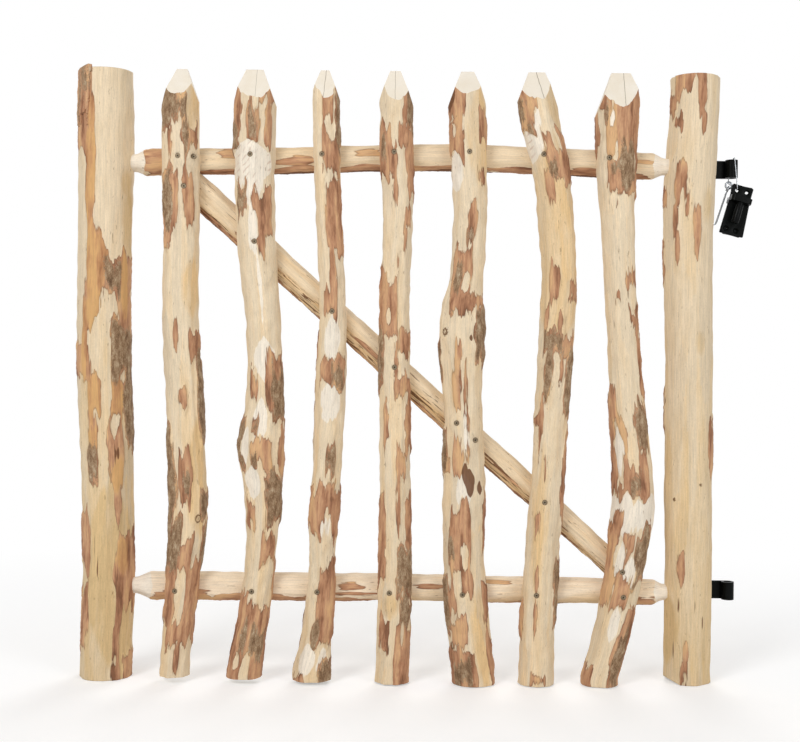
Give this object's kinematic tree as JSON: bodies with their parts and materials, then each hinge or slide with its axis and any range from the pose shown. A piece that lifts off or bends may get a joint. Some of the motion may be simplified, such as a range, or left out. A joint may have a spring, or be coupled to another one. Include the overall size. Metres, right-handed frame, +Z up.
{
  "type": "sheep gate",
  "caption": "Rustic pole gate leaf for a sheep fold: pointed pickets on mortised rails with a diagonal brace, strap hinge eyes, and pin plates and a cabin hook wired to one eye.",
  "frame": {"origin": "on the ground under the middle of the leaf", "axes": "+X from the latch post to the hinge post, -Y out of the picket side, +Z up"},
  "size_m": [1.1278, 0.1123, 1],
  "materials": {
    "post_wood": "peeled pole with scraps of inner bark",
    "rail_wood": "peeled pole with scraps of inner bark",
    "picket_wood": "peeled cleft pole with scraps of bark, sawn tips",
    "screw_steel": "dull",
    "black_coat": "satin black powder coat",
    "black_pin": "satin black powder coat",
    "coach_steel": "bright zinc",
    "zinc_wire": "bright zinc",
    "zinc_hook": "bright zinc"
  },
  "bodies": {
    "leaf": {"latch_post": "post_wood", "hinge_post": "post_wood", "top_rail": "rail_wood", "bottom_rail": "rail_wood", "diagonal_brace": "rail_wood", "picket_1": "picket_wood", "picket_2": "picket_wood", "picket_3": "picket_wood", "picket_4": "picket_wood", "picket_5": "picket_wood", "picket_6": "picket_wood", "picket_7": "picket_wood", "top_rail_screws": "screw_steel", "bottom_rail_screws": "screw_steel", "brace_screws": "screw_steel", "tenon_screws": "screw_steel", "upper_hinge_strap": "black_coat", "lower_hinge_strap": "black_coat", "upper_strap_screws": "coach_steel", "lower_strap_screws": "coach_steel"},
    "tie_wire": {"tie_wire": "zinc_wire", "hook_screw_eye": "zinc_hook"},
    "front_plate": {"front_pin_plate": "black_coat", "front_hinge_pin": "black_pin"},
    "rear_plate": {"rear_pin_plate": "black_coat", "rear_hinge_pin": "black_pin"},
    "cabin_hook": {"cabin_hook": "zinc_hook"}
  },
  "joints": [
    {"name": "wire_swing", "type": "hinge", "parent": "leaf", "child": "tie_wire", "pos_m": [0.5325, 0.0297, 0.8703], "axis": [0, 1, 0], "range_deg": [-12, 0.5]},
    {"name": "front_plate_swing", "type": "hinge", "parent": "tie_wire", "child": "front_plate", "pos_m": [0.5379, 0.0295, 0.8196], "axis": [0, 1, 0], "range_deg": [-60, 10]},
    {"name": "rear_plate_swing", "type": "hinge", "parent": "tie_wire", "child": "rear_plate", "pos_m": [0.5379, 0.0335, 0.8196], "axis": [0, 1, 0], "range_deg": [-60, 0]},
    {"name": "hook_swing", "type": "hinge", "parent": "tie_wire", "child": "cabin_hook", "pos_m": [0.5272, 0.0421, 0.8283], "axis": [0, 1, 0], "range_deg": [-4, 16]}
  ]
}
